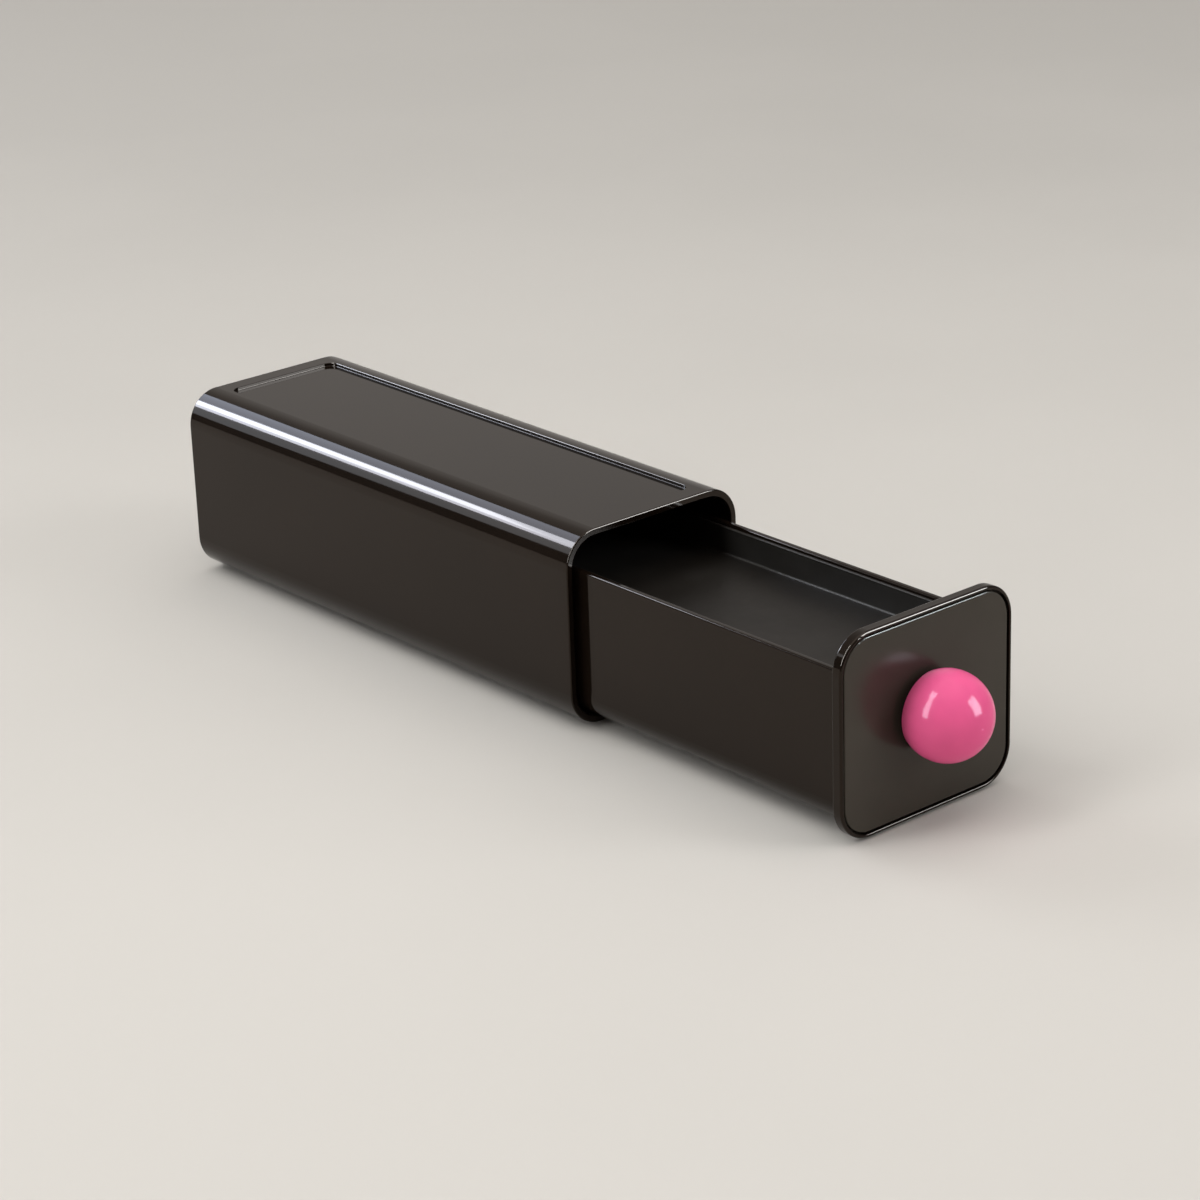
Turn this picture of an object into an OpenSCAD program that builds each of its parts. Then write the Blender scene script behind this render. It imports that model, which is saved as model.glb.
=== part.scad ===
// Drawer box for pencils: a glossy black sleeve with a deep drawer, an inset front panel and a ball knob.
// Millimetres. X is across, the drawer opens along -Y, Z is up and Z = 0 is the table top.
// The drawer is drawn partly open, at rest_opening, and the origin is on the table, under the middle of
// the box round all of it.

/* [Sleeve] */
// Width of the sleeve and of the drawer's front plate
sleeve_w = 100; // [80:1:160]
// Height of the sleeve and of the drawer's front plate
sleeve_h = 91; // [80:1:140]
// Length of the sleeve from mouth to rear edge
sleeve_len = 286; // [220:1:360]
// Radius of the four long edges
corner_r = 16.5; // [12:0.5:20]
// Thickness of the sleeve's walls
wall = 3.2; // [2.4:0.1:4]
// Radius of the fine rounding round the mouth and the rear edge
lip_r = 0.6; // [0.4:0.1:1.2]
// Radius of the fine rounding on the mouth's inner edge
mouth_r = 0.6; // [0.3:0.1:1]

/* [Top pocket] */
// Depth of the shallow pocket in the sleeve's top
pocket_depth = 1.6; // [1:0.1:3]
// Distance from the pocket's ends to the sleeve's ends
pocket_end_margin = 9; // [6:0.5:20]
// Distance from the pocket's long sides to where the top's flat part ends
pocket_side_margin = 2.5; // [1:0.5:8]
// Corner radius of the pocket
pocket_r = 5; // [3:0.5:8]
// Bevel on the pocket's upper edge
pocket_bevel = 0.15; // [0.1:0.05:0.8]

/* [Drawer] */
// How far the drawer is open as drawn, from the mouth to the back of its front plate
rest_opening = 163; // [20:1:196]
// How far the drawer opens before its tab meets the stop
max_opening = 198; // [175:1:205]
// Gap between the front plate and the mouth when the drawer is shut
shut_gap = 0.5; // [0.3:0.1:1]
// Air between the drawer's rim and the ceiling under the pocket
rim_gap = 11.7; // [9:0.1:30]
// Air on each side of the drawer inside the sleeve
side_gap = 2.8; // [2:0.1:8]
// Thickness of the drawer's walls and floor
drawer_wall = 3; // [2:0.1:4]
// Radius of the drawer's two long lower edges
drawer_r = 11; // [6:0.5:14]
// Rounding along both edges of the drawer's rim
rim_round = 1; // [0.3:0.1:1]
// Height by which the drawer runs clear of its runners
ride_gap = 0.15; // [0.1:0.05:0.4]

/* [Front] */
// Thickness of the front plate
plate_t = 5.4; // [4.6:0.1:8]
// Rounding of the front plate's outer edges
plate_edge_r = 1; // [0.6:0.1:2]
// Width of the rim round the inset panel
rim_w = 1.6; // [1:0.1:4]
// Rounding of the rim's inner edge
rim_inner_r = 0.3; // [0.1:0.1:0.4]
// Width of the groove between rim and panel
groove_w = 0.9; // [0.5:0.1:2]
// Thickness of the inset panel
panel_t = 2.8; // [2:0.1:4]
// How far the panel lies behind the rim's front
panel_sink = 0.4; // [0:0.1:1]
// Rounding of the panel's front edge
panel_edge_r = 0.6; // [0.3:0.1:1.2]

/* [Knob] */
// Diameter of the ball
ball_d = 39.2; // [30:0.2:50]
// Depth from the ball's centre to its flat back
ball_flat = 8.8; // [6:0.1:14]
// Diameter of the neck behind the ball
collar_d = 14; // [11:0.5:20]
// Length of the neck
collar_len = 2.5; // [1:0.1:8]
// Height of the knob above the middle of the front
knob_rise = 1.6; // [0:0.1:6]

/* [Tray] */
// Depth of the tray's floor below the drawer's rim
tray_floor_drop = 14; // [10:0.5:24]
// How far the tray's edge lies below the drawer's rim
tray_edge_drop = 1.2; // [0.5:0.1:4]
// Thickness of the tray's walls and floor
tray_wall = 1.6; // [1.2:0.1:2.4]
// Gap between the tray and the drawer's walls
tray_gap = 0.3; // [0.2:0.05:0.8]

/* [Feet, runners and stops] */
// Height of the rubber pads under the sleeve
foot_h = 1.2; // [0.8:0.1:3]
// Diameter of the pads
foot_d = 14; // [8:1:18]
// Thickness of the glide strips under the drawer
runner_t = 1; // [0.5:0.1:2]
// Width of the glide strips
runner_w = 9; // [5:0.5:14]
// Gap between the side guides and the drawer
guide_gap = 0.4; // [0.3:0.1:1]
// Thickness of the pads that the shut drawer meets
bumper_t = 5; // [4.4:0.1:8]
// Air between the stop tab and the ceiling under the pocket
tab_gap = 4.3; // [2:0.1:5]
// Air between the stop block and the drawer's rim
stop_gap = 4; // [2:0.5:5]

/* [Hidden] */
$fn = 96;
overrun = 1;                 // how far a cutter runs past the face that it opens
front_reach = rest_opening + plate_t - panel_sink + collar_len + ball_flat + ball_d / 2;
mouth_y = (front_reach - sleeve_len) / 2;
rear_y = mouth_y + sleeve_len;
floor_top = foot_h + wall;
sleeve_top = foot_h + sleeve_h;
ceiling = sleeve_top - wall;
pocket_w = sleeve_w - 2 * corner_r - 2 * pocket_side_margin;
pocket_len = sleeve_len - 2 * pocket_end_margin;
pocket_cove_r = 0.3;         // rounding where the pocket's wall meets its floor
pad_bottom = ceiling - pocket_depth;

// back panel, in a rebate of the sleeve's rear edge
rebate_wall = 1.6;
rebate_depth = 3.4;
back_panel_t = 3;
back_fit = 0.15;
back_panel_y = rear_y - rebate_depth;
bumper_d = 10;
bumper_edge_r = 1;
bumper_spread = 24;
bumper_gap = 0.2;

// drawer
drawer_w = sleeve_w - 2 * wall - 2 * side_gap;
drawer_inner_w = drawer_w - 2 * drawer_wall;
drawer_len = back_panel_y - mouth_y - bumper_t - bumper_gap + shut_gap;
drawer_z = floor_top + runner_t + ride_gap;
rim_z = pad_bottom - rim_gap;
drawer_h = rim_z - drawer_z;
drawer_front_y = mouth_y - rest_opening;
drawer_rear_y = drawer_front_y + drawer_len;
ledge_w = 2.4;
ledge_h = 3;
ledge_root = 0.5;            // how far a ledge is moulded into its wall

// front plate, its panel and their screws
mid_z = foot_h + sleeve_h / 2;
plate_front_y = drawer_front_y - plate_t;
panel_inset = rim_w + groove_w;
panel_front_y = plate_front_y + panel_sink;
panel_back_y = panel_front_y + panel_t;
bore_play = 0.2;
screw_d = 3;
screw_bore = screw_d + bore_play;
screw_head_d = 5.6;
screw_head_h = 1.8;
socket_share = 0.32;         // width of a screw's socket as a share of its head
socket_floor_share = 0.4;    // height of the socket's floor as a share of its head
screw_bite = 1.8;            // how far a screw reaches into the panel
screw_side_gap = 9;
screw_floor_gap = 10;
screw_ledge_gap = 8;
screw_x = drawer_inner_w / 2 - screw_side_gap;
screw_low_z = drawer_z + drawer_wall + screw_floor_gap;

// knob and the parts that hold it
knob_z = mid_z + knob_rise;
collar_front_y = panel_front_y - collar_len;
collar_flange_w = 1;
collar_flange_t = 0.6;
knob_screw_d = 3.5;
knob_bore = knob_screw_d + bore_play;
insert_d = 6.4;
insert_len = 9;
insert_sink = 0.3;
insert_end_t = 0.5;
knob_screw_reach = 8;
washer_d = 12;
washer_t = 1;
knob_head_d = 8;
knob_head_h = 2.8;
wall_inner_y = drawer_front_y + drawer_wall;

// tray
tray_w = drawer_inner_w - 2 * tray_gap;
tray_bottom_z = rim_z - tray_floor_drop - tray_wall;
tray_top_z = rim_z - tray_edge_drop;
tray_y0 = wall_inner_y + tray_gap;
tray_y1 = drawer_rear_y - drawer_wall - tray_gap;
tray_outer_r = 1.2;          // radius inside the tray's long corners; the outside adds its wall
tray_rim_round = 0.5;
notch_r = 10;
notch_rise = 2;              // height of a notch's centre above the tray's edge
relief_gap = 1;              // air kept round the knob's screw head
screw_high_z = tray_bottom_z - ledge_h - screw_ledge_gap;

// stop tab on the drawer's rear wall, and the block that it meets
tab_w = 24;
tab_t = 2.5;
tab_lap = 16;
tab_r = 3;
tab_rise = rim_gap - tab_gap;
tab_screw_d = 2.5;
tab_screw_head_d = 4.6;
tab_screw_head_h = 1.4;
tab_screw_z = rim_z - tab_lap / 2;
tab_screw_spread = 7;
stop_len = 6;
stop_w = 30;
stop_y1 = mouth_y + drawer_len - max_opening;

// feet, runners and guides
foot_recess = 0.4;
foot_edge_r = 0.5;
foot_inset_x = 14;
foot_inset_y = 20;
foot_xs = [-sleeve_w / 2 + corner_r + foot_inset_x, sleeve_w / 2 - corner_r - foot_inset_x];
foot_ys = [mouth_y + foot_inset_y, rear_y - foot_inset_y];
runner_start = 5;
runner_end = 6;
runner_inset = 6;
guide_start = 30;
guide_h = 8;
guide_rise = 30;
guide_z = floor_top + guide_rise;
guide_t = side_gap - guide_gap;
guide_bevel = 1;

// A rectangle with round corners, centred across and standing on the line y = 0
module rounded_outline(w, h, r) {
    translate([-w / 2 + r, 0]) square([w - 2 * r, h]);
    translate([-w / 2, r]) square([w, h - 2 * r]);
    for (x = [-w / 2 + r, w / 2 - r], y = [r, h - r]) translate([x, y]) circle(r);
}

// An upright drawing swept along Y, from y0 to y1
module along_y(y0, y1) {
    translate([0, y1, 0]) rotate([90, 0, 0]) linear_extrude(y1 - y0) children();
}

// Half of a section through a board of thickness t, with its rim rounded by r0 below and r1 above
module edge_section(reach, t, r0, r1) {
    square([reach - max(r0, r1), t]);
    translate([0, r0]) square([reach, t - r0 - r1]);
    if (r0 > 0) translate([reach - r0, r0]) circle(r0);
    if (r1 > 0) translate([reach - r1, t - r1]) circle(r1);
    square([reach - r0, t / 2]);
    translate([0, t / 2]) square([reach - r1, t / 2]);
}

// A board of size w x h x t whose corners have radius r. The child is its half section at the rim, from
// x = 0 to x = r. It is carried along the four sides and round the four corners.
// The board lies on z = 0, centred across, and starts at y = 0.
module swept_board(w, h, r, t) {
    translate([-w / 2 + r, r, 0]) cube([w - 2 * r, h - 2 * r, t]);
    for (side = [0:3]) {
        across = side % 2 == 0 ? w : h;
        depth = side % 2 == 0 ? h : w;
        translate([0, h / 2, 0]) rotate([0, 0, 90 * side]) {
            translate([-across / 2 + r, depth / 2 - r, 0]) rotate([90, 0, 90])
                linear_extrude(across - 2 * r) children();
            translate([across / 2 - r, depth / 2 - r, 0]) rotate_extrude(angle = 90) children();
        }
    }
}

// A board stood up to face -Y, from y0 (its edge rounded by r_front) to y1 (rounded by r_back)
module upright_board(w, h, r, z, y0, y1, r_front, r_back) {
    translate([0, y1, z]) rotate([90, 0, 0])
        swept_board(w, h, r, y1 - y0) edge_section(r, y1 - y0, r_back, r_front);
}

// A cylinder along Y from y0 to y1
module rod_y(x, z, d, y0, y1) {
    translate([x, y1, z]) rotate([90, 0, 0]) cylinder(h = y1 - y0, d = d);
}

// Section of the pocket: a coved floor edge, an upright wall and a bevelled upper edge
module pocket_section() {
    square([pocket_r - pocket_cove_r, pocket_depth]);
    translate([0, pocket_cove_r]) square([pocket_r, pocket_depth - pocket_cove_r]);
    translate([pocket_r - pocket_cove_r, pocket_cove_r]) circle(pocket_cove_r);
    polygon([[0, pocket_depth - pocket_bevel], [pocket_r, pocket_depth - pocket_bevel],
             [pocket_r + pocket_bevel, pocket_depth], [pocket_r + pocket_bevel, pocket_depth + overrun],
             [0, pocket_depth + overrun]]);
}

module pocket_cutter() {
    translate([0, mouth_y + pocket_end_margin, sleeve_top - pocket_depth])
        swept_board(pocket_w, pocket_len, pocket_r, pocket_depth + overrun) pocket_section();
}

// Rounds the inner edge of an opening of size w x h whose corners have radius r, in a face at y that
// looks to -Y
module edge_rounder(w, h, r, z, y, edge_r) {
    translate([0, y + edge_r, z]) rotate([90, 0, 0])
        swept_board(w, h, r, edge_r + overrun) difference() {
            square([r + edge_r, edge_r + overrun]);
            translate([r + edge_r, 0]) circle(edge_r);
        }
}

// The ceiling drops under the pocket, so the moulded wall keeps its thickness
module ceiling_pad() {
    translate([0, mouth_y + pocket_end_margin - wall, pad_bottom])
        linear_extrude(pocket_depth + overrun)
            rounded_outline(pocket_w + 2 * wall, pocket_len + 2 * wall, pocket_r + wall);
}

module foot_recess_cutter(x, y) {
    translate([x, y, foot_h - overrun]) cylinder(h = foot_recess + overrun, d = foot_d + bore_play);
}

module sleeve() color([0.13, 0.12, 0.11]) difference() {
    upright_board(sleeve_w, sleeve_h, corner_r, foot_h, mouth_y, rear_y, lip_r, lip_r);
    difference() {
        translate([0, 0, floor_top]) along_y(mouth_y - overrun, rear_y + overrun)
            rounded_outline(sleeve_w - 2 * wall, sleeve_h - 2 * wall, corner_r - wall);
        ceiling_pad();
    }
    translate([0, 0, foot_h + rebate_wall]) along_y(back_panel_y, rear_y + overrun)
        rounded_outline(sleeve_w - 2 * rebate_wall, sleeve_h - 2 * rebate_wall, corner_r - rebate_wall);
    edge_rounder(sleeve_w - 2 * wall, sleeve_h - 2 * wall, corner_r - wall, floor_top, mouth_y, mouth_r);
    pocket_cutter();
    for (x = foot_xs, y = foot_ys) foot_recess_cutter(x, y);
}

module back_panel() color([0.12, 0.11, 0.1]) {
    inset = rebate_wall + back_fit;
    upright_board(sleeve_w - 2 * inset, sleeve_h - 2 * inset, corner_r - inset, foot_h + inset,
                  back_panel_y, back_panel_y + back_panel_t, 0, panel_edge_r);
}

// Glide strip on the floor, on the side given by -1 or 1
module runner(side) {
    x = side * (drawer_w / 2 - drawer_r - runner_inset);
    translate([x, 0, floor_top]) along_y(mouth_y + runner_start, back_panel_y - runner_end)
        translate([-runner_w / 2, 0]) square([runner_w, runner_t]);
}
module runner_left() color([0.75, 0.75, 0.72]) runner(-1);
module runner_right() color([0.75, 0.75, 0.72]) runner(1);

// Strip on the side wall with its two long edges bevelled towards the drawer
module guide(side) {
    wall_x = sleeve_w / 2 - wall;
    translate([0, 0, guide_z]) along_y(mouth_y + guide_start, back_panel_y - runner_end) scale([side, 1])
        polygon([[wall_x, 0], [wall_x, guide_h], [wall_x - guide_t + guide_bevel, guide_h],
                 [wall_x - guide_t, guide_h - guide_bevel], [wall_x - guide_t, guide_bevel],
                 [wall_x - guide_t + guide_bevel, 0]]);
}
module guide_left() color([0.2, 0.2, 0.2]) guide(-1);
module guide_right() color([0.2, 0.2, 0.2]) guide(1);

module drawer_stop() color([0.2, 0.2, 0.2]) {
    stop_bottom = rim_z + stop_gap;
    translate([-stop_w / 2, stop_y1 - stop_len, stop_bottom])
        cube([stop_w, stop_len, pad_bottom - stop_bottom]);
}

// Rubber pad on the back panel, its front edge rounded
module rear_bumper(x) {
    translate([x, back_panel_y, mid_z]) rotate([90, 0, 0]) rotate_extrude() {
        square([bumper_d / 2 - bumper_edge_r, bumper_t]);
        square([bumper_d / 2, bumper_t - bumper_edge_r]);
        translate([bumper_d / 2 - bumper_edge_r, bumper_t - bumper_edge_r]) circle(bumper_edge_r);
    }
}
module rear_bumper_left() color([0.25, 0.25, 0.25]) rear_bumper(-bumper_spread);
module rear_bumper_right() color([0.25, 0.25, 0.25]) rear_bumper(bumper_spread);

// Rubber pad, glued in a shallow recess, with a rounded lower edge
module foot(x, y) {
    translate([x, y, 0]) rotate_extrude() {
        square([foot_d / 2 - foot_edge_r, foot_h + foot_recess]);
        translate([0, foot_edge_r]) square([foot_d / 2, foot_h + foot_recess - foot_edge_r]);
        translate([foot_d / 2 - foot_edge_r, foot_edge_r]) circle(foot_edge_r);
    }
}
module foot_front_left() color([0.16, 0.16, 0.16]) foot(foot_xs[0], foot_ys[0]);
module foot_front_right() color([0.16, 0.16, 0.16]) foot(foot_xs[1], foot_ys[0]);
module foot_rear_left() color([0.16, 0.16, 0.16]) foot(foot_xs[0], foot_ys[1]);
module foot_rear_right() color([0.16, 0.16, 0.16]) foot(foot_xs[1], foot_ys[1]);

// Outline of width w and height h, its two lower corners rounded by r
module trough_outline(w, h, r) {
    translate([-w / 2, r]) square([w, h - r]);
    translate([-w / 2 + r, 0]) square([w - 2 * r, h]);
    for (x = [-w / 2 + r, w / 2 - r]) translate([x, r]) circle(r);
}

// Section of a wall's rim: t thick, standing on y = 0, both upper edges rounded by top_r
module rim_section(t, top_r) {
    for (x = [top_r, t - top_r]) translate([x, top_r]) circle(top_r);
    translate([top_r, 0]) square([t - 2 * top_r, 2 * top_r]);
}

// A trough along Y with round lower edges, walls of thickness t at its sides and ends, and rounded rims
module trough(w, h, r, t, top_r, z, y0, y1) {
    straight_h = h - top_r;
    translate([0, 0, z]) {
        along_y(y0, y1) difference() {
            trough_outline(w, straight_h, r);
            translate([0, t]) trough_outline(w - 2 * t, h, r - t);
        }
        for (x = [-w / 2, w / 2 - t]) translate([0, 0, h - 2 * top_r])
            along_y(y0, y1) translate([x, 0]) rim_section(t, top_r);
        for (y = [y0, y1 - t]) {
            along_y(y, y + t) trough_outline(w, straight_h, r);
            translate([-w / 2 + top_r, y, h - 2 * top_r]) rotate([90, 0, 90])
                linear_extrude(w - 2 * top_r) rim_section(t, top_r);
        }
    }
}

module drawer_ledges() {
    for (side = [-1, 1]) scale([side, 1, 1])
        translate([0, 0, tray_bottom_z - ledge_h]) along_y(drawer_front_y + overrun, drawer_rear_y - overrun)
            polygon([[drawer_inner_w / 2 + ledge_root, 0], [drawer_inner_w / 2, 0],
                     [drawer_inner_w / 2 - ledge_w, ledge_h / 2], [drawer_inner_w / 2 - ledge_w, ledge_h],
                     [drawer_inner_w / 2 + ledge_root, ledge_h]]);
}

module drawer_box() color([0.14, 0.13, 0.12]) difference() {
    union() {
        trough(drawer_w, drawer_h, drawer_r, drawer_wall, rim_round, drawer_z, drawer_front_y, drawer_rear_y);
        drawer_ledges();
    }
    for (x = [-screw_x, screw_x], z = [screw_low_z, screw_high_z])
        rod_y(x, z, screw_bore, drawer_front_y - overrun, wall_inner_y + overrun);
    rod_y(0, knob_z, knob_bore, drawer_front_y - overrun, wall_inner_y + overrun);
    for (x = [-tab_screw_spread, tab_screw_spread])
        rod_y(x, tab_screw_z, tab_screw_d, drawer_rear_y - drawer_wall - overrun, drawer_rear_y + overrun);
}

module front_frame() color([0.14, 0.13, 0.12]) difference() {
    upright_board(sleeve_w, sleeve_h, corner_r, foot_h, plate_front_y, drawer_front_y,
                  plate_edge_r, plate_edge_r);
    translate([0, 0, foot_h + rim_w]) along_y(plate_front_y - overrun, panel_back_y)
        rounded_outline(sleeve_w - 2 * rim_w, sleeve_h - 2 * rim_w, corner_r - rim_w);
    edge_rounder(sleeve_w - 2 * rim_w, sleeve_h - 2 * rim_w, corner_r - rim_w, foot_h + rim_w,
                 plate_front_y, rim_inner_r);
    for (x = [-screw_x, screw_x], z = [screw_low_z, screw_high_z])
        rod_y(x, z, screw_bore, plate_front_y, drawer_front_y + overrun);
    rod_y(0, knob_z, knob_bore, plate_front_y, drawer_front_y + overrun);
}

module front_panel() color([0.16, 0.15, 0.14]) difference() {
    upright_board(sleeve_w - 2 * panel_inset, sleeve_h - 2 * panel_inset, corner_r - panel_inset,
                  foot_h + panel_inset, panel_front_y, panel_back_y, panel_edge_r, 0);
    for (x = [-screw_x, screw_x], z = [screw_low_z, screw_high_z])
        rod_y(x, z, screw_bore, panel_back_y - screw_bite - bore_play, panel_back_y + overrun);
    rod_y(0, knob_z, knob_bore, panel_front_y - overrun, panel_back_y + overrun);
}

// Pan-head screw whose head is at the larger y: the shank reaches down to y_tip
module pan_screw(x, z, d, head_d, head_h, y_tip, y_seat) {
    difference() {
        union() {
            rod_y(x, z, d, y_tip, y_seat);
            translate([x, y_seat, z]) rotate([-90, 0, 0]) rotate_extrude() intersection() {
                translate([0, head_h - head_d]) circle(head_d);
                square([head_d / 2, head_h]);
            }
        }
        rod_y(x, z, head_d * socket_share, y_seat + head_h * socket_floor_share, y_seat + head_h + overrun);
    }
}

module front_screws() color([0.6, 0.6, 0.62])
    for (x = [-screw_x, screw_x], z = [screw_low_z, screw_high_z])
        pan_screw(x, z, screw_d, screw_head_d, screw_head_h, panel_back_y - screw_bite, wall_inner_y);

// Turned ball with a flat back, bored from behind for the threaded insert
module knob_ball() color([0.89, 0.33, 0.57])
    translate([0, collar_front_y, knob_z]) rotate([90, 0, 0]) rotate_extrude() difference() {
        intersection() {
            translate([0, ball_flat]) circle(d = ball_d);
            square([ball_d, 2 * ball_d]);
        }
        square([insert_d / 2, insert_len + insert_sink]);
    }

module knob_collar() color([0.08, 0.08, 0.08]) difference() {
    translate([0, panel_front_y, knob_z]) rotate([90, 0, 0]) rotate_extrude() {
        square([collar_d / 2, collar_len]);
        square([collar_d / 2 + collar_flange_w, collar_flange_t]);
    }
    rod_y(0, knob_z, knob_bore, collar_front_y - overrun, panel_front_y + overrun);
}

module knob_insert() color([0.78, 0.62, 0.3]) difference() {
    y1 = collar_front_y - insert_sink;
    rod_y(0, knob_z, insert_d, y1 - insert_len, y1);
    rod_y(0, knob_z, knob_screw_d, y1 - insert_len + insert_end_t, y1 + overrun);
}

module knob_washer() color([0.7, 0.7, 0.72]) difference() {
    rod_y(0, knob_z, washer_d, wall_inner_y, wall_inner_y + washer_t);
    rod_y(0, knob_z, knob_bore, wall_inner_y - overrun, wall_inner_y + washer_t + overrun);
}

module knob_screw() color([0.65, 0.65, 0.67])
    pan_screw(0, knob_z, knob_screw_d, knob_head_d, knob_head_h,
              collar_front_y - knob_screw_reach, wall_inner_y + washer_t);

module stop_tab() color([0.2, 0.2, 0.2]) difference() {
    translate([0, 0, rim_z - tab_lap]) along_y(drawer_rear_y, drawer_rear_y + tab_t)
        rounded_outline(tab_w, tab_lap + tab_rise, tab_r);
    for (x = [-tab_screw_spread, tab_screw_spread])
        rod_y(x, tab_screw_z, tab_screw_d + bore_play, drawer_rear_y - overrun,
              drawer_rear_y + tab_t + overrun);
}

module stop_tab_screws() color([0.6, 0.6, 0.62])
    for (x = [-tab_screw_spread, tab_screw_spread])
        pan_screw(x, tab_screw_z, tab_screw_d, tab_screw_head_d, tab_screw_head_h,
                  drawer_rear_y - drawer_wall + bore_play, drawer_rear_y + tab_t);

// The tray clears the knob's screw head, which it reaches only in a shallow drawer
module pen_tray() color([0.13, 0.12, 0.12]) difference() {
    trough(tray_w, tray_top_z - tray_bottom_z, tray_outer_r + tray_wall, tray_wall, tray_rim_round,
           tray_bottom_z, tray_y0, tray_y1);
    for (y = [tray_y0, tray_y1])
        rod_y(0, tray_top_z + notch_rise, 2 * notch_r, y - 2 * tray_wall, y + 2 * tray_wall);
    rod_y(0, knob_z, washer_d + 2 * relief_gap, drawer_front_y,
          wall_inner_y + washer_t + knob_head_h + relief_gap);
}

sleeve();
back_panel();
runner_left();
runner_right();
guide_left();
guide_right();
drawer_stop();
rear_bumper_left();
rear_bumper_right();
foot_front_left();
foot_front_right();
foot_rear_left();
foot_rear_right();
drawer_box();
front_frame();
front_panel();
front_screws();
knob_ball();
knob_collar();
knob_insert();
knob_washer();
knob_screw();
stop_tab();
stop_tab_screws();
pen_tray();
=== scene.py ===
"""Finishes and studio for a pencil drawer box.

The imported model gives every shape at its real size. This file gives each piece its plastic, rubber or
metal, and sets a plain pale studio round the box.
Lengths are in metres. X is across, the drawer opens along -Y and Z is up.
"""

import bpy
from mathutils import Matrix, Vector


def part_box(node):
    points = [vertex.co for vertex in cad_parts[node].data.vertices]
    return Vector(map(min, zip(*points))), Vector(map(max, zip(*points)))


bl_info = {
    "name": "Pencil drawer box",
    "version": (1, 0, 0),
    "blender": (4, 5, 0),
    "location": "3D View > Sidebar > Drawer Box",
    "description": "Finishes a pencil drawer box and sets a studio round it",
    "category": "Material",
}

import math

import bpy
import numpy as np
from bpy.props import FloatProperty, FloatVectorProperty, PointerProperty
from mathutils import Matrix, Vector

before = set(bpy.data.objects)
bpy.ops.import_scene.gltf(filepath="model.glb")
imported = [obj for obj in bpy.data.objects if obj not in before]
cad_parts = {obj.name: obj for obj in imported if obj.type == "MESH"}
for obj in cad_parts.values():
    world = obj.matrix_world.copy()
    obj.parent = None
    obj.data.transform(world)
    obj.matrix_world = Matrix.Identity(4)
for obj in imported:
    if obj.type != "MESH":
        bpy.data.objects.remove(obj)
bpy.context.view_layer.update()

MM = 0.001
KNOB_CENTRE = (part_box("knob_ball")[0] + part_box("knob_ball")[1]) / 2


# ---------------------------------------------------------------------------------------------- settings

def tone(label, text, default):
    """A colour setting, in linear light."""
    return FloatVectorProperty(name=label, description=text, default=default, subtype="COLOR",
                               size=3, min=0.0, max=1.0)


def share(label, text, default):
    """A setting between 0 and 1."""
    return FloatProperty(name=label, description=text, default=default, min=0.0, max=1.0, subtype="FACTOR")


def length(label, text, default):
    """A length in metres."""
    return FloatProperty(name=label, description=text, default=default, min=0.0, unit="LENGTH")


class DrawerBoxFinish(bpy.types.PropertyGroup):
    """Colours and gloss of the box."""

    shell: tone("Shell", "Glossy black of the sleeve and the drawer", (0.0062, 0.0038, 0.0025))
    shell_glint: tone("Shell glint", "Tint of what the shell mirrors when seen square on", (1.0, 0.80, 0.66))
    panel: tone("Panel", "Satin black of the inset front panel", (0.0385, 0.0322, 0.0252))
    panel_glint: tone("Panel glint", "Tint of what the panel mirrors when seen square on", (0.88, 0.84, 0.76))
    inside: tone("Tray", "Matt black of the pen tray", (0.0075, 0.0062, 0.0050))
    tray_glint: tone("Tray glint", "Tint of what the tray mirrors when seen square on", (1.0, 0.86, 0.74))
    knob: tone("Knob", "Pink of the ball", (0.86, 0.120, 0.305))
    shell_gloss: share("Shell roughness", "Roughness of the glossy shell", 0.07)
    panel_gloss: share("Panel roughness", "Roughness of the front panel", 0.20)
    tray_gloss: share("Tray roughness", "Roughness of the pen tray", 0.42)
    knob_gloss: share("Knob roughness", "Roughness of the ball under its lacquer", 0.22)


class DrawerBoxStudio(bpy.types.PropertyGroup):
    """Floor, lamps and camera."""

    floor: tone("Floor", "Colour of the paper floor", (0.60, 0.580, 0.546))
    # Painted shade: the far end of the floor is painted darker, standing in for the light falling off.
    floor_painted_falloff: share("Floor fade", "Tone of the floor's far end as a share of its near end", 0.77)
    backdrop: tone("Backdrop", "Colour of the room behind the floor", (0.58, 0.55, 0.52))
    ceiling_power: FloatProperty(name="Ceiling", description="Power of the soft light overhead",
                                 default=46.0, min=0.0, unit="POWER")
    window_power: FloatProperty(name="Windows", description="Power that each window's shares are taken of",
                                default=115.0, min=0.0, unit="POWER")
    shine_tint: tone("Window shine", "Tint of the windows as polished things mirror them", (0.74, 0.88, 1.0))
    daylight: FloatProperty(name="Daylight", description="Radiance of the high window behind the box",
                            default=2.7, min=0.0)
    fill: share("Fill", "Strength of the low light from the room", 0.28)
    camera_distance: length("Camera distance", "From the camera to the point it looks at", 1.5635)
    camera_lens: FloatProperty(name="Lens", description="Focal length of the camera",
                               default=104.7, min=1.0, unit="CAMERA")
    camera_azimuth: FloatProperty(name="Azimuth", description="Camera's turn round the box",
                                  default=math.radians(-40.10), unit="ROTATION")
    camera_elevation: FloatProperty(name="Elevation", description="Camera's height angle",
                                    default=math.radians(21.53), unit="ROTATION")
    camera_roll: FloatProperty(name="Roll", description="Camera's turn about its own axis",
                               default=math.radians(-2.02), unit="ROTATION")


# ----------------------------------------------------------------------------------------- node material

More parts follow.
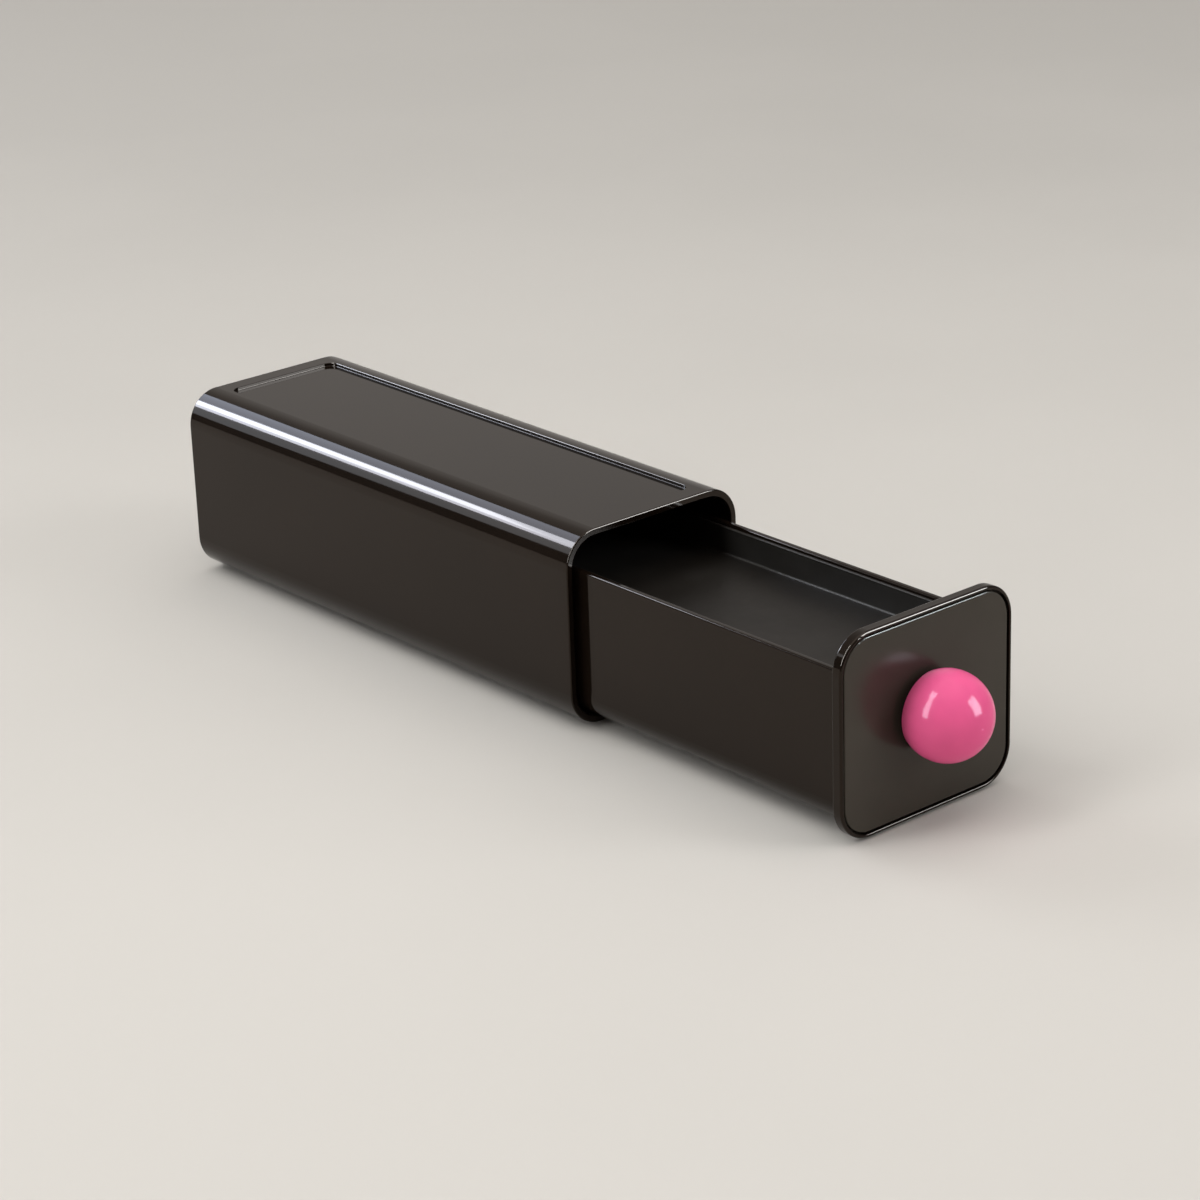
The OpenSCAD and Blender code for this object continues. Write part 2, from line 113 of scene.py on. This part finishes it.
class Finish:
    """A node material with one Principled shader, built up by small steps on Object coordinates."""

    def __init__(self, name):
        self.material = bpy.data.materials.new(name)
        self.material.use_nodes = True
        self.nodes = self.material.node_tree.nodes
        self.links = self.material.node_tree.links
        self.shader = self.nodes["Principled BSDF"]
        self.place = self.nodes.new("ShaderNodeTexCoord").outputs["Object"]

    def set(self, **values):
        """Sets plain numbers and colours on the shader; an underscore stands for a space."""
        for key, value in values.items():
            self.shader.inputs[key.replace("_", " ")].default_value = value
        return self

    def scaled(self, scale):
        """Object coordinates stretched along each axis."""
        node = self.nodes.new("ShaderNodeMapping")
        node.inputs["Scale"].default_value = scale
        self.links.new(self.place, node.inputs["Vector"])
        return node.outputs["Vector"]

    def noise(self, grain, detail=2.0, rough=0.5, place=None):
        """Noise whose lumps are about grain metres apart, as a value round 0.5."""
        node = self.nodes.new("ShaderNodeTexNoise")
        node.inputs["Scale"].default_value = 1 / grain
        node.inputs["Detail"].default_value = detail
        node.inputs["Roughness"].default_value = rough
        self.links.new(place or self.place, node.inputs["Vector"])
        return node.outputs["Fac"]

    def spread(self, value, low, high, start=0.3, stop=0.7):
        """Maps a value from start..stop to low..high, smoothly."""
        node = self.nodes.new("ShaderNodeMapRange")
        node.interpolation_type = "SMOOTHSTEP"
        for socket, number in (("From Min", start), ("From Max", stop), ("To Min", low), ("To Max", high)):
            node.inputs[socket].default_value = number
        self.links.new(value, node.inputs["Value"])
        return node.outputs["Result"]

    def combine(self, operation, first, second):
        """Arithmetic on two values, each a socket or a number."""
        node = self.nodes.new("ShaderNodeMath")
        node.operation = operation
        for socket, value in zip(node.inputs, (first, second)):
            if isinstance(value, (int, float)):
                socket.default_value = value
            else:
                self.links.new(value, socket)
        return node.outputs["Value"]

    def mix(self, factor, first, second):
        """A colour between two colours."""
        node = self.nodes.new("ShaderNodeMix")
        node.data_type = "RGBA"
        self.links.new(factor, node.inputs["Factor"])
        node.inputs["A"].default_value = (*first, 1)
        node.inputs["B"].default_value = (*second, 1)
        return node.outputs["Result"]

    def mottle(self, cloud, colour, low, high):
        """Lets the base colour drift between two shares of a colour as the cloud does."""
        return self.link(self.mix(self.spread(cloud, 0, 1), lighter(colour, low), lighter(colour, high)),
                         "Base Color")

    def link(self, value, socket):
        """Feeds a value into one of the shader's sockets."""
        self.links.new(value, self.shader.inputs[socket])
        return self

    def bump(self, height, depth, under=None):
        """A bump of the given depth in metres, laid over another bump if one is given."""
        node = self.nodes.new("ShaderNodeBump")
        node.inputs["Distance"].default_value = depth
        self.links.new(height, node.inputs["Height"])
        if under is not None:
            self.links.new(under, node.inputs["Normal"])
        return node.outputs["Normal"]

    def wear(self, *names):
        """Gives the finish to CAD nodes, in place of what they carry."""
        for name in names:
            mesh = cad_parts[name].data
            mesh.materials.clear()
            mesh.materials.append(self.material)
        return self


def lighter(colour, factor):
    """The same colour, brighter or darker by a factor."""
    return tuple(min(1.0, channel * factor) for channel in colour)


def gloss_plastic(name, colour, roughness, glint):
    """Polished moulded plastic: faint mottling, orange peel, hazy patches and hair-fine wiping marks."""
    finish = Finish(name)
    cloud = finish.noise(60 * MM, detail=3.0)
    finish.mottle(cloud, colour, 0.86, 1.16)
    haze = finish.noise(35 * MM, detail=4.0, rough=0.6)
    wiped = finish.noise(0.5 * MM, detail=2.0, place=finish.scaled((1, 0.03, 1)))
    rough = finish.combine("ADD", finish.spread(haze, roughness * 0.8, roughness * 1.25),
                           finish.spread(wiped, 0.0, roughness * 0.22, 0.52, 0.72))
    finish.link(rough, "Roughness")
    peel = finish.bump(finish.noise(2.2 * MM, detail=1.0), 0.4e-6)
    finish.link(finish.bump(finish.noise(45 * MM, detail=0.0), 20e-6, under=peel), "Normal")
    return finish.set(IOR=1.34, Specular_Tint=(*glint, 1))


def satin_plastic(name, colour, roughness, grain=0.35 * MM, depth=4e-6, glint=(1, 1, 1)):
    """Spark-eroded moulded plastic: an even fine grain, with rubbed patches that shine a little more."""
    finish = Finish(name)
    cloud = finish.noise(40 * MM, detail=3.0)
    finish.mottle(cloud, colour, 0.92, 1.08)
    rubbed = finish.noise(28 * MM, detail=4.0, rough=0.6)
    finish.link(finish.spread(rubbed, roughness * 0.9, roughness * 1.12), "Roughness")
    finish.link(finish.bump(finish.noise(grain, detail=2.0), depth), "Normal")
    return finish.set(IOR=1.5, Specular_Tint=(*glint, 1))


def rubber(name, colour):
    """Matt moulded rubber with a powdery bloom."""
    finish = Finish(name)
    bloom = finish.noise(3 * MM, detail=4.0, rough=0.65)
    finish.mottle(bloom, colour, 1.0, 2.2)
    finish.link(finish.spread(bloom, 0.62, 0.86), "Roughness")
    finish.link(finish.bump(finish.noise(0.25 * MM), 15e-6), "Normal")
    return finish.set(IOR=1.45)


def metal(name, colour, roughness, pitch=0.12 * MM):
    """Turned metal: fine rings round the part's own axis, which lies along Y, and dull handling marks."""
    finish = Finish(name)
    dull = finish.noise(2.5 * MM, detail=4.0, rough=0.6)
    finish.mottle(dull, colour, 0.82, 1.06)
    finish.link(finish.spread(dull, roughness * 0.75, roughness * 1.5), "Roughness")
    rings = finish.noise(pitch, detail=1.0, place=finish.scaled((0.08, 1, 0.08)))
    finish.link(finish.bump(rings, 3e-6), "Normal")
    return finish.set(Metallic=1.0)


# ------------------------------------------------------------------------------------- operators: finishes

class FinishOperator(bpy.types.Operator):
    """Shared by the operators that finish a group of pieces."""

    bl_options = {"REGISTER", "UNDO"}

    def execute(self, context):
        """Runs the finish with the scene's settings."""
        self.apply(context.scene.drawer_box_finish)
        return {"FINISHED"}


class DRAWERBOX_OT_sleeve(FinishOperator):
    """Gives the sleeve its glossy black and the back panel its satin black"""

    bl_idname = "drawerbox.sleeve"
    bl_label = "Sleeve and back panel"

    def apply(self, look):
        gloss_plastic("sleeve_gloss", look.shell, look.shell_gloss, look.shell_glint).wear("sleeve")
        satin_plastic("back_satin", look.panel, look.panel_gloss * 1.4).wear("back_panel")


class DRAWERBOX_OT_drawer(FinishOperator):
    """Gives the drawer's body and its front frame their glossy black"""

    bl_idname = "drawerbox.drawer"
    bl_label = "Drawer and front frame"

    def apply(self, look):
        gloss_plastic("drawer_gloss", look.shell, look.shell_gloss, look.shell_glint).wear("drawer_box")
        gloss_plastic("front_gloss", look.shell, look.shell_gloss * 0.8, look.shell_glint).wear("front_frame")


class DRAWERBOX_OT_panel(FinishOperator):
    """Gives the inset front panel its satin black"""

    bl_idname = "drawerbox.panel"
    bl_label = "Front panel"

    def apply(self, look):
        panel = satin_plastic("panel_satin", look.panel, look.panel_gloss, glint=look.panel_glint)
        panel.set(IOR=1.37).wear("front_panel")


class DRAWERBOX_OT_knob(FinishOperator):
    """Gives the ball its lacquered pink and the neck behind it a plain black"""

    bl_idname = "drawerbox.knob"
    bl_label = "Knob"

    def apply(self, look):
        ball = Finish("knob_pink")
        cloud = ball.noise(14 * MM, detail=2.0)
        ball.mottle(cloud, look.knob, 0.97, 1.02)
        rubbed = ball.noise(9 * MM, detail=3.0)
        ball.link(ball.spread(rubbed, look.knob_gloss * 0.85, look.knob_gloss * 1.15), "Roughness")
        ball.link(ball.bump(ball.noise(1.6 * MM, detail=1.0), 0.6e-6), "Normal")
        ball.set(IOR=1.45, Coat_Weight=0.22, Coat_Roughness=0.008, Coat_IOR=1.36, Specular_IOR_Level=0.03)
        ball.wear("knob_ball")
        satin_plastic("collar_black", look.inside, look.panel_gloss).wear("knob_collar")


class DRAWERBOX_OT_tray(FinishOperator):
    """Gives the pen tray its matt black"""

    bl_idname = "drawerbox.tray"
    bl_label = "Pen tray"

    def apply(self, look):
        tray = satin_plastic("tray_matt", look.inside, look.tray_gloss, glint=look.tray_glint)
        tray.set(IOR=1.28).wear("pen_tray")


class DRAWERBOX_OT_slides(FinishOperator):
    """Finishes the glide strips, the side guides and the stop"""

    bl_idname = "drawerbox.slides"
    bl_label = "Glides, guides and stop"

    def apply(self, look):
        satin_plastic("glide_white", (0.62, 0.61, 0.57), 0.38, grain=0.6 * MM).wear(
            "runner_left", "runner_right")
        satin_plastic("guide_black", (0.020, 0.020, 0.020), 0.42).wear(
            "guide_left", "guide_right", "drawer_stop", "stop_tab")


class DRAWERBOX_OT_pads(FinishOperator):
    """Finishes the rubber feet and the rubber pads that the shut drawer meets"""

    bl_idname = "drawerbox.pads"
    bl_label = "Feet and bumpers"

    def apply(self, look):
        rubber("pad_rubber", (0.018, 0.018, 0.018)).wear(
            "foot_front_left", "foot_front_right", "foot_rear_left", "foot_rear_right")
        rubber("bumper_rubber", (0.030, 0.030, 0.030)).wear("rear_bumper_left", "rear_bumper_right")


class DRAWERBOX_OT_fasteners(FinishOperator):
    """Finishes the steel screws and washer and the brass insert"""

    bl_idname = "drawerbox.fasteners"
    bl_label = "Fasteners"

    def apply(self, look):
        metal("screw_steel", (0.56, 0.56, 0.57), 0.28).wear(
            "front_screws", "stop_tab_screws", "knob_screw", "knob_washer")
        metal("insert_brass", (0.72, 0.50, 0.20), 0.26).wear("knob_insert")


# ---------------------------------------------------------------------------------------------- the studio

def floor_material(stage):
    """Pale paper with painted shade: its tone deepens towards the back on the right, standing in for the
    light falling off, and it also drifts very slightly.
    """
    finish = Finish("floor_paper")
    away = finish.nodes.new("ShaderNodeVectorMath")
    away.operation = "DOT_PRODUCT"
    away.inputs[1].default_value = (0.64, 0.76, 0.0)
    finish.links.new(finish.place, away.inputs[0])
    drift = finish.spread(finish.noise(0.35, detail=3.0), -0.06, 0.06)
    # Painted shade: this mask darkens the floor's colour towards the back, with a slight random drift laid
    # over it.
    depth = finish.combine("ADD", finish.spread(away.outputs["Value"], 0, 1, -0.45, 1.25), drift)
    finish.link(finish.mix(depth, stage.floor, lighter(stage.floor, stage.floor_painted_falloff)), "Base Color")
    finish.link(finish.bump(finish.noise(1.2 * MM, detail=3.0), 12e-6), "Normal")
    return finish.set(Roughness=0.9, Specular_IOR_Level=0.0).material


def make_floor(stage):
    """A square sheet on z = 0, its corners at plus and minus the reach."""
    reach = 6.0
    corners = np.array([(-reach, -reach, 0), (reach, -reach, 0), (reach, reach, 0), (-reach, reach, 0)])
    mesh = bpy.data.meshes.new("studio_floor")
    mesh.from_pydata(corners.tolist(), [], [(0, 1, 2, 3)])
    floor = bpy.data.objects.new("studio_floor", mesh)
    bpy.context.scene.collection.objects.link(floor)
    mesh.materials.append(floor_material(stage))


def make_lamp(name, centre, target, width, height, power, top=(0, 0, 1), colour=(1, 1, 1), card=False):
    """A rectangular soft lamp at centre that faces target, its height along the top direction.

    A card is seen in gloss only, like the pale boards that a studio mirrors in polished things.
    """
    data = bpy.data.lights.new(name, "AREA")
    data.shape = "RECTANGLE"
    data.size = width
    data.size_y = height
    data.energy = power
    data.color = colour
    lamp = bpy.data.objects.new(name, data)
    bpy.context.scene.collection.objects.link(lamp)
    back = (Vector(centre) - Vector(target)).normalized()
    side = Vector(top).cross(back).normalized()
    up = back.cross(side)
    lamp.matrix_world = Matrix.Translation(centre) @ Matrix((side, up, back)).transposed().to_4x4()
    lamp.visible_camera = False
    lamp.visible_diffuse = not card


def make_windows(stage):
    """The two windows that the ball mirrors, each a lamp with a card just in front of it.

    Each is given by its direction from the knob, its width, its height, the direction of its upper edge,
    and the power of its lamp and of its card as shares of the windows' power. A card stands nearer than
    its lamp, so that the two never lie in one plane.
    """
    windows = (("left_window", (-0.759, 0.251, 0.600), 0.90, 3.62, (0.62, 0.055, 0.76), 0.39, 3.0),
               ("right_window", (0.557, -0.734, 0.390), 1.36, 2.04, (-0.103, 0.216, 0.557), 0.30, 3.0))
    reach, layer = 3.2, 0.02
    for name, towards, width, height, top, lit, shine in windows:
        far = KNOB_CENTRE + Vector(towards) * reach
        near = KNOB_CENTRE + Vector(towards) * (reach - layer)
        make_lamp(name, far, KNOB_CENTRE, width, height, stage.window_power * lit, top)
        make_lamp(name + "_shine", near, KNOB_CENTRE, width, height, stage.window_power * shine, top,
                  stage.shine_tint, card=True)


def make_streak(stage):
    """The tall window that the sleeve's rounded edge mirrors, as upright bands side by side.

    The bands face the sleeve from behind on the left, each a thin layer in front of the one before. Each is
    given by its left and right edge across, its lower and upper edge along, its radiance and its colour.
    Only the daylight band lights the box and the floor.
    """
    bands = (("daylight", -0.70, 0.73, -0.95, 0.20, stage.daylight, (0.94, 0.96, 1.0)),
             ("sky", -0.70, 0.10, -0.95, 0.20, 2.4, (0.34, 0.56, 1.0)),
             ("pane", 0.10, 0.73, -0.95, 0.20, 20.0, (0.68, 0.80, 1.0)),
             ("glare", 0.16, 0.50, -0.95, -0.02, 16.0, (0.72, 0.84, 1.0)),
             ("sill", 0.73, 1.45, -0.95, 0.20, 2.4, (0.74, 0.86, 1.0)))
    middle = Vector((-0.587, 1.881, 1.753))
    facing = Vector((-0.217, 0.712, 0.667)).normalized()
    across = Vector((-0.951, 0.0, -0.309)).normalized()
    along = facing.cross(across)
    layer = 5 * MM
    for order, (name, left, right, low, high, radiance, colour) in enumerate(bands):
        centre = middle + across * (left + right) / 2 + along * (low + high) / 2 - facing * (layer * order)
        power = math.pi * (right - left) * (high - low) * radiance
        make_lamp("streak_" + name, centre, centre - facing, right - left, high - low, power,
                  top=along, colour=colour, card=name != "daylight")


def make_room(stage):
    """The room above the floor: pale overhead and low behind the box on the right, dim elsewhere."""
    world = bpy.data.worlds.new("studio_room")
    bpy.context.scene.world = world
    world.use_nodes = True
    nodes, links = world.node_tree.nodes, world.node_tree.links
    nodes.clear()
    direction = nodes.new("ShaderNodeTexCoord").outputs["Generated"]

    def new(kind, **settings):
        """A world node with the given settings."""
        node = nodes.new(kind)
        for key, value in settings.items():
            setattr(node, key, value)
        return node

    def ramp(value, start, stop, low, high):
        """A smooth step from low to high as the value goes from start to stop."""
        node = new("ShaderNodeMapRange", interpolation_type="SMOOTHSTEP")
        for socket, number in (("From Min", start), ("From Max", stop), ("To Min", low), ("To Max", high)):
            node.inputs[socket].default_value = number
        links.new(value, node.inputs["Value"])
        return node.outputs["Result"]

    def join(operation, first, second):
        """Arithmetic on two sockets."""
        node = new("ShaderNodeMath", operation=operation)
        for socket, value in zip(node.inputs, (first, second)):
            links.new(value, socket)
        return node.outputs["Value"]

    towards = new("ShaderNodeVectorMath", operation="DOT_PRODUCT")
    towards.inputs[1].default_value = (0.64, 0.76, 0.0)
    links.new(direction, towards.inputs[0])
    height = new("ShaderNodeSeparateXYZ")
    links.new(direction, height.inputs["Vector"])
    behind = join("MULTIPLY", ramp(towards.outputs["Value"], 0.35, 0.85, 0.0, 1.0),
                  ramp(height.outputs["Z"], 0.36, 0.62, 1.0, 0.12))
    pale = join("ADD", behind, ramp(height.outputs["Z"], 0.25, 0.60, 0.0, 0.70))
    colour = new("ShaderNodeMix", data_type="RGBA")
    links.new(pale, colour.inputs["Factor"])
    colour.inputs["A"].default_value = (*lighter(stage.backdrop, stage.fill), 1)
    colour.inputs["B"].default_value = (*stage.backdrop, 1)

    rays = new("ShaderNodeLightPath")
    seen = new("ShaderNodeMix", data_type="RGBA")
    links.new(rays.outputs["Is Camera Ray"], seen.inputs["Factor"])
    links.new(colour.outputs["Result"], seen.inputs["A"])
    seen.inputs["B"].default_value = (*stage.backdrop, 1)
    shader = new("ShaderNodeBackground")
    links.new(seen.outputs["Result"], shader.inputs["Color"])
    links.new(shader.outputs["Background"], new("ShaderNodeOutputWorld").inputs["Surface"])


def make_camera(stage):
    """A camera at the photograph's angle, aimed at a point low in the middle of the box."""
    aim = Vector((-0.0101, -0.0178, 0.045))
    azimuth, elevation = stage.camera_azimuth, stage.camera_elevation
    back = Vector((math.sin(azimuth) * math.cos(elevation), -math.cos(azimuth) * math.cos(elevation),
                   math.sin(elevation)))
    data = bpy.data.cameras.new("photo_camera")
    data.sensor_fit = "HORIZONTAL"
    data.sensor_width = 36.0
    data.lens = stage.camera_lens
    data.clip_start = 0.01
    camera = bpy.data.objects.new("photo_camera", data)
    bpy.context.scene.collection.objects.link(camera)
    turn = back.to_track_quat("Z", "Y").to_matrix() @ Matrix.Rotation(stage.camera_roll, 3, "Z")
    camera.matrix_world = Matrix.Translation(aim + back * stage.camera_distance) @ turn.to_4x4()
    bpy.context.scene.camera = camera


class DRAWERBOX_OT_studio(bpy.types.Operator):
    """Sets the pale floor, the room, the soft lamps and the camera"""

    bl_idname = "drawerbox.studio"
    bl_label = "Studio"
    bl_options = {"REGISTER", "UNDO"}

    def execute(self, context):
        """Builds the stage from the scene's settings."""
        stage = context.scene.drawer_box_studio
        context.scene.view_settings.view_transform = "Standard"
        make_floor(stage)
        make_room(stage)
        make_camera(stage)
        overhead = KNOB_CENTRE + Vector((0.10, 0.10, 2.90))
        make_lamp("ceiling_light", overhead, overhead - Vector((0, 0, 1)), 3.4, 3.0,
                  stage.ceiling_power, top=(0, 1, 0))
        make_windows(stage)
        make_streak(stage)
        return {"FINISHED"}


# -------------------------------------------------------------------------------------------- panel, main

STEPS = (DRAWERBOX_OT_studio, DRAWERBOX_OT_sleeve, DRAWERBOX_OT_drawer, DRAWERBOX_OT_panel, DRAWERBOX_OT_knob,
         DRAWERBOX_OT_tray, DRAWERBOX_OT_slides, DRAWERBOX_OT_pads, DRAWERBOX_OT_fasteners)


class VIEW3D_PT_drawer_box(bpy.types.Panel):
    """Lists the settings and the steps in the 3D view's sidebar"""

    bl_label = "Pencil drawer box"
    bl_space_type = "VIEW_3D"
    bl_region_type = "UI"
    bl_category = "Drawer Box"

    def draw(self, context):
        """Draws every setting, then one button for each step."""
        for group in (context.scene.drawer_box_finish, context.scene.drawer_box_studio):
            for key in group.__annotations__:
                self.layout.prop(group, key)
        for step in STEPS:
            self.layout.operator(step.bl_idname)


CLASSES = (DrawerBoxFinish, DrawerBoxStudio, *STEPS, VIEW3D_PT_drawer_box)


def register():
    """Adds the classes and hangs the settings on the scene."""
    for each in CLASSES:
        bpy.utils.register_class(each)
    bpy.types.Scene.drawer_box_finish = PointerProperty(type=DrawerBoxFinish)
    bpy.types.Scene.drawer_box_studio = PointerProperty(type=DrawerBoxStudio)


def unregister():
    """Takes the settings and the classes away again."""
    del bpy.types.Scene.drawer_box_finish
    del bpy.types.Scene.drawer_box_studio
    for each in reversed(CLASSES):
        bpy.utils.unregister_class(each)


def main():
    """Registers the add-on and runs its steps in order."""
    register()
    for step in STEPS:
        group, name = step.bl_idname.split(".")
        getattr(getattr(bpy.ops, group), name)()


if __name__ == "__main__":
    main()
